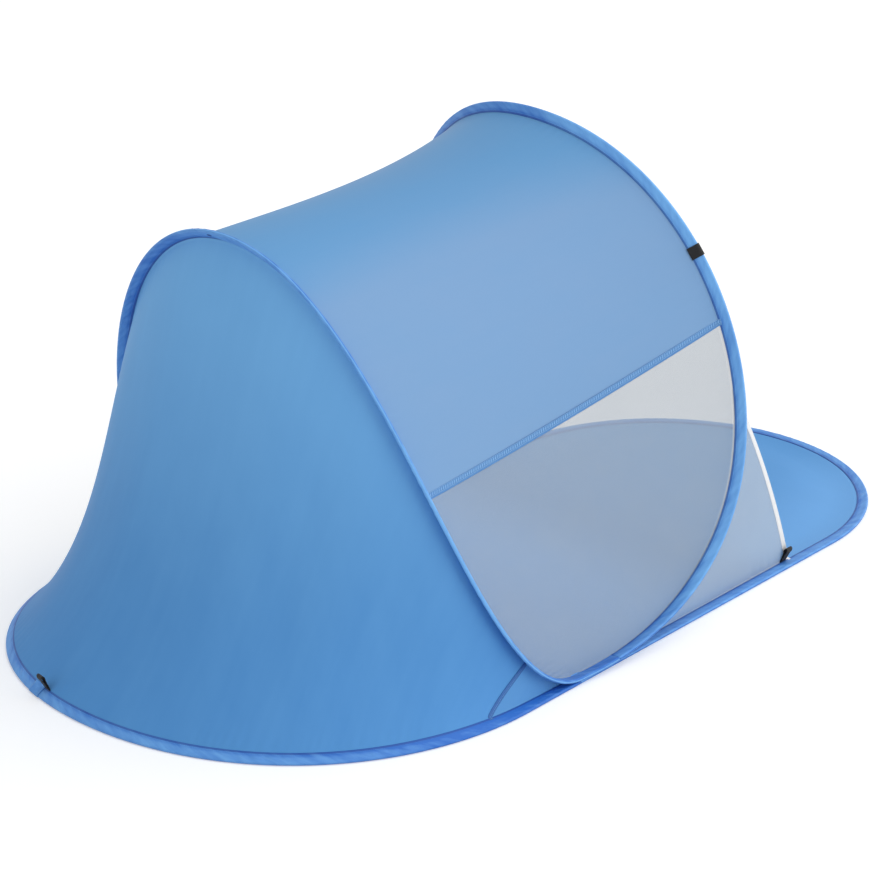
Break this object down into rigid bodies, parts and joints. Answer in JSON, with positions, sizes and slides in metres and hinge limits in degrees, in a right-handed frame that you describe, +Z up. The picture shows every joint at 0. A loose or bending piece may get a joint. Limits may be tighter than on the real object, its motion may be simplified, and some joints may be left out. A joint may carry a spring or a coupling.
{
  "type": "pop-up beach shelter",
  "caption": "Pop-up beach shelter on two sprung hoops: blue roof and rear wall, white mesh side windows and wings, and a groundsheet that runs out as an apron; keeps off wind and sun",
  "frame": {"origin": "centre of the footprint at ground level", "axes": "+X out of the mouth along the apron, +Y to the far side, +Z up"},
  "size_m": [2.2082, 1.2104, 1.018],
  "materials": {
    "blue_cloth": "coated polyester taffeta, faint sheen",
    "blue_tape": "folded and stitched polyester tape",
    "white_mesh": "sheer knitted mesh",
    "white_tape": "folded and stitched white tape",
    "black_webbing": "woven webbing",
    "sprung_rod": "drawn spring wire"
  },
  "bodies": {
    "root": {"groundsheet": "blue_cloth", "ground_rod": "sprung_rod", "ground_sleeve_rear": "blue_tape", "ground_sleeve_apron": "blue_tape", "canopy_rod": "sprung_rod", "front_arch_sleeve": "blue_tape", "rear_arch_sleeve": "blue_tape", "roof": "blue_cloth", "roof_hem_near": "blue_tape", "roof_hem_far": "blue_tape", "window_near": "white_mesh", "window_far": "white_mesh", "rear_wall": "blue_cloth", "gusset_seam_near": "blue_tape", "gusset_seam_far": "blue_tape", "gusset_near": "blue_cloth", "gusset_far": "blue_cloth", "wing_near": "white_mesh", "wing_far": "white_mesh", "wing_hem_near": "white_tape", "wing_hem_far": "white_tape", "rear_peg_loop": "black_webbing", "front_peg_loop_near": "black_webbing", "front_peg_loop_far": "black_webbing", "arch_band_near": "black_webbing", "arch_band_far": "black_webbing", "ground_sleeve_lap": "blue_tape"}
  },
  "joints": []
}
